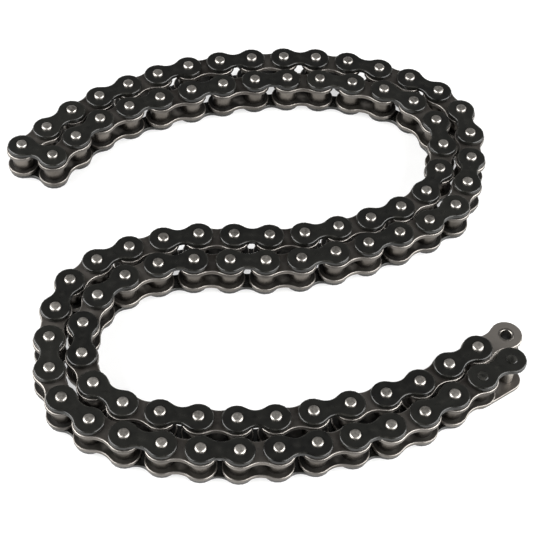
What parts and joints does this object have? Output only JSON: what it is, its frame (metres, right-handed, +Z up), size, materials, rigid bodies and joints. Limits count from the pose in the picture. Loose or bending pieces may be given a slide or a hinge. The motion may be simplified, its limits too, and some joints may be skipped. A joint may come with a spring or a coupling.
{
  "type": "roller drive chain",
  "caption": "Motorcycle roller chain laid folded double in an S: black outer plates, bright pins, steel rollers, and a connecting link at one free end.",
  "frame": {"origin": "middle of the underside of the whole chain's box, on the surface that the lower pin ends stand on", "axes": "+Z up, along every pin; +Y along the longer side of the S, from its free ends towards its fold; +X to the right of that"},
  "size_m": [0.192, 0.1948, 0.0152],
  "materials": {
    "black_oxide_plate": "glossy black oxide",
    "tempered_steel_plate": "satin brownish grey",
    "ground_steel_pin": "bright, softly mottled",
    "roller_steel": "satin"
  },
  "bodies": {
    "laid_chain": {"fold_link_outer_plate_bottom": "black_oxide_plate", "fold_link_outer_plate_top": "black_oxide_plate", "fold_link_pin_1": "ground_steel_pin", "fold_link_pin_2": "ground_steel_pin", "strand_a_links_01_to_05": "black_oxide_plate", "strand_a_links_06_to_10": "black_oxide_plate", "strand_a_links_11_to_15": "black_oxide_plate", "strand_a_links_16_to_19": "black_oxide_plate", "strand_a_links_20_to_23": "black_oxide_plate", "strand_a_links_24_to_27": "black_oxide_plate", "strand_a_links_28_to_31": "black_oxide_plate", "strand_a_links_32_to_35": "black_oxide_plate", "strand_b_links_01_to_05": "black_oxide_plate", "strand_b_links_06_to_10": "black_oxide_plate", "strand_b_links_11_to_15": "black_oxide_plate", "strand_b_links_16_to_19": "black_oxide_plate", "strand_b_links_20_to_23": "black_oxide_plate"},
    "strand_b_links_24_to_28": {"strand_b_links_24_to_28": "black_oxide_plate"},
    "strand_b_links_29_to_33": {"strand_b_links_29_to_33": "black_oxide_plate"},
    "link_a36": {"link_a36_outer": "black_oxide_plate"},
    "link_a37": {"link_a37_inner": "tempered_steel_plate"},
    "link_a38": {"link_a38_outer": "black_oxide_plate"},
    "link_a39": {"link_a39_inner": "tempered_steel_plate"},
    "link_a40": {"link_a40_outer": "black_oxide_plate"},
    "link_a41": {"link_a41_inner": "tempered_steel_plate"},
    "link_a42": {"link_a42_outer": "black_oxide_plate"},
    "link_a43": {"link_a43_inner": "tempered_steel_plate"},
    "link_a44": {"link_a44_outer_plate_bottom": "black_oxide_plate", "link_a44_outer_plate_top": "black_oxide_plate", "link_a44_pin_1": "ground_steel_pin", "link_a44_pin_2": "ground_steel_pin"},
    "link_a45": {"link_a45_bush_1": "ground_steel_pin", "link_a45_bush_2": "ground_steel_pin", "link_a45_inner_plate_bottom": "tempered_steel_plate", "link_a45_inner_plate_top": "tempered_steel_plate"},
    "link_b34": {"link_b34_outer": "black_oxide_plate"},
    "link_b35": {"link_b35_inner": "tempered_steel_plate"},
    "link_b36": {"link_b36_outer": "black_oxide_plate"},
    "link_b37": {"link_b37_inner": "tempered_steel_plate"},
    "link_b38": {"link_b38_outer": "black_oxide_plate"},
    "link_b39": {"link_b39_inner": "tempered_steel_plate"},
    "link_b40": {"link_b40_outer": "black_oxide_plate"},
    "link_b41": {"link_b41_inner": "tempered_steel_plate"},
    "link_b42": {"link_b42_outer_plate_bottom": "black_oxide_plate", "link_b42_outer_plate_top": "black_oxide_plate", "link_b42_pin_1": "ground_steel_pin", "link_b42_pin_2": "ground_steel_pin"},
    "link_b43": {"link_b43_bush_1": "ground_steel_pin", "link_b43_bush_2": "ground_steel_pin", "link_b43_inner_plate_bottom": "tempered_steel_plate", "link_b43_inner_plate_top": "tempered_steel_plate"},
    "connecting_link": {"connecting_link_pin_1": "ground_steel_pin", "connecting_link_pin_2": "ground_steel_pin", "connecting_link_plate_bottom": "tempered_steel_plate", "connecting_link_plate_top": "black_oxide_plate", "connecting_link_spring_clip": "tempered_steel_plate"},
    "link_a45_roller_1": {"link_a45_roller_1": "roller_steel"},
    "link_a45_roller_2": {"link_a45_roller_2": "roller_steel"},
    "link_b43_roller_1": {"link_b43_roller_1": "roller_steel"},
    "link_b43_roller_2": {"link_b43_roller_2": "roller_steel"}
  },
  "joints": [
    {"name": "link_a36_pivot", "type": "hinge", "parent": "laid_chain", "child": "link_a36", "pos_m": [-0.025, -0.07973, 0.00758], "axis": [0, 0, 1], "range_deg": [0, 4]},
    {"name": "link_a37_pivot", "type": "hinge", "parent": "link_a36", "child": "link_a37", "pos_m": [-0.01231, -0.08018, 0.00758], "axis": [0, 0, 1], "range_deg": [0, 6]},
    {"name": "link_a38_pivot", "type": "hinge", "parent": "link_a37", "child": "link_a38", "pos_m": [0.00037, -0.07949, 0.00758], "axis": [0, 0, 1], "range_deg": [0, 10]},
    {"name": "link_a39_pivot", "type": "hinge", "parent": "link_a38", "child": "link_a39", "pos_m": [0.01291, -0.0775, 0.00758], "axis": [0, 0, 1], "range_deg": [0, 12]},
    {"name": "link_a40_pivot", "type": "hinge", "parent": "link_a39", "child": "link_a40", "pos_m": [0.02511, -0.07396, 0.00758], "axis": [0, 0, 1], "range_deg": [0, 15]},
    {"name": "link_a41_pivot", "type": "hinge", "parent": "link_a40", "child": "link_a41", "pos_m": [0.03699, -0.06947, 0.00758], "axis": [0, 0, 1], "range_deg": [0, 25]},
    {"name": "link_a42_pivot", "type": "hinge", "parent": "link_a41", "child": "link_a42", "pos_m": [0.0486, -0.06433, 0.00758], "axis": [0, 0, 1], "range_deg": [0, 35]},
    {"name": "link_a43_pivot", "type": "hinge", "parent": "link_a42", "child": "link_a43", "pos_m": [0.05975, -0.05825, 0.00758], "axis": [0, 0, 1], "range_deg": [0, 45]},
    {"name": "link_a44_pivot", "type": "hinge", "parent": "link_a43", "child": "link_a44", "pos_m": [0.06947, -0.05008, 0.00758], "axis": [0, 0, 1], "range_deg": [0, 55]},
    {"name": "link_a45_pivot", "type": "hinge", "parent": "link_a44", "child": "link_a45", "pos_m": [0.07917, -0.04188, 0.00758], "axis": [0, 0, 1], "range_deg": [0, 80]},
    {"name": "strand_b_run_24_pivot", "type": "hinge", "parent": "laid_chain", "child": "strand_b_links_24_to_28", "pos_m": [-0.02053, -0.00294, 0.00758], "axis": [0, 0, 1], "range_deg": [-12, 0]},
    {"name": "strand_b_run_29_pivot", "type": "hinge", "parent": "strand_b_links_24_to_28", "child": "strand_b_links_29_to_33", "pos_m": [-0.06567, -0.04124, 0.00758], "axis": [0, 0, 1], "range_deg": [-12, 0]},
    {"name": "link_b34_pivot", "type": "hinge", "parent": "strand_b_links_29_to_33", "child": "link_b34", "pos_m": [-0.03553, -0.08951, 0.00758], "axis": [0, 0, 1], "range_deg": [-12, 0]},
    {"name": "link_b35_pivot", "type": "hinge", "parent": "link_b34", "child": "link_b35", "pos_m": [-0.02302, -0.09169, 0.00758], "axis": [0, 0, 1], "range_deg": [-12, 0]},
    {"name": "link_b36_pivot", "type": "hinge", "parent": "link_b35", "child": "link_b36", "pos_m": [-0.01033, -0.0923, 0.00758], "axis": [0, 0, 1], "range_deg": [-15, 0]},
    {"name": "link_b37_pivot", "type": "hinge", "parent": "link_b36", "child": "link_b37", "pos_m": [0.00235, -0.09156, 0.00758], "axis": [0, 0, 1], "range_deg": [-15, 0]},
    {"name": "link_b38_pivot", "type": "hinge", "parent": "link_b37", "child": "link_b38", "pos_m": [0.01486, -0.08937, 0.00758], "axis": [0, 0, 1], "range_deg": [-18, 0]},
    {"name": "link_b39_pivot", "type": "hinge", "parent": "link_b38", "child": "link_b39", "pos_m": [0.0271, -0.08602, 0.00758], "axis": [0, 0, 1], "range_deg": [-20, 0]},
    {"name": "link_b40_pivot", "type": "hinge", "parent": "link_b39", "child": "link_b40", "pos_m": [0.03908, -0.08179, 0.00758], "axis": [0, 0, 1], "range_deg": [-22, 0]},
    {"name": "link_b41_pivot", "type": "hinge", "parent": "link_b40", "child": "link_b41", "pos_m": [0.05072, -0.07671, 0.00758], "axis": [0, 0, 1], "range_deg": [-25, 0]},
    {"name": "link_b42_pivot", "type": "hinge", "parent": "link_b41", "child": "link_b42", "pos_m": [0.06166, -0.07026, 0.00758], "axis": [0, 0, 1], "range_deg": [-30, 0]},
    {"name": "link_b43_pivot", "type": "hinge", "parent": "link_b42", "child": "link_b43", "pos_m": [0.07147, -0.0622, 0.00758], "axis": [0, 0, 1], "range_deg": [-35, 0]},
    {"name": "connecting_link_pivot", "type": "hinge", "parent": "link_b43", "child": "connecting_link", "pos_m": [0.08087, -0.05365, 0.00758], "axis": [0, 0, 1], "range_deg": [-75, 0]},
    {"name": "link_a45_roller_1_spin", "type": "hinge", "parent": "link_a45", "child": "link_a45_roller_1", "pos_m": [0.07917, -0.04188, 0.00758], "axis": [0, 0, 1], "continuous": true},
    {"name": "link_a45_roller_2_spin", "type": "hinge", "parent": "link_a45", "child": "link_a45_roller_2", "pos_m": [0.08923, -0.03413, 0.00758], "axis": [0, 0, 1], "continuous": true},
    {"name": "link_b43_roller_1_spin", "type": "hinge", "parent": "link_b43", "child": "link_b43_roller_1", "pos_m": [0.07147, -0.0622, 0.00758], "axis": [0, 0, 1], "continuous": true},
    {"name": "link_b43_roller_2_spin", "type": "hinge", "parent": "link_b43", "child": "link_b43_roller_2", "pos_m": [0.08087, -0.05365, 0.00758], "axis": [0, 0, 1], "continuous": true}
  ]
}
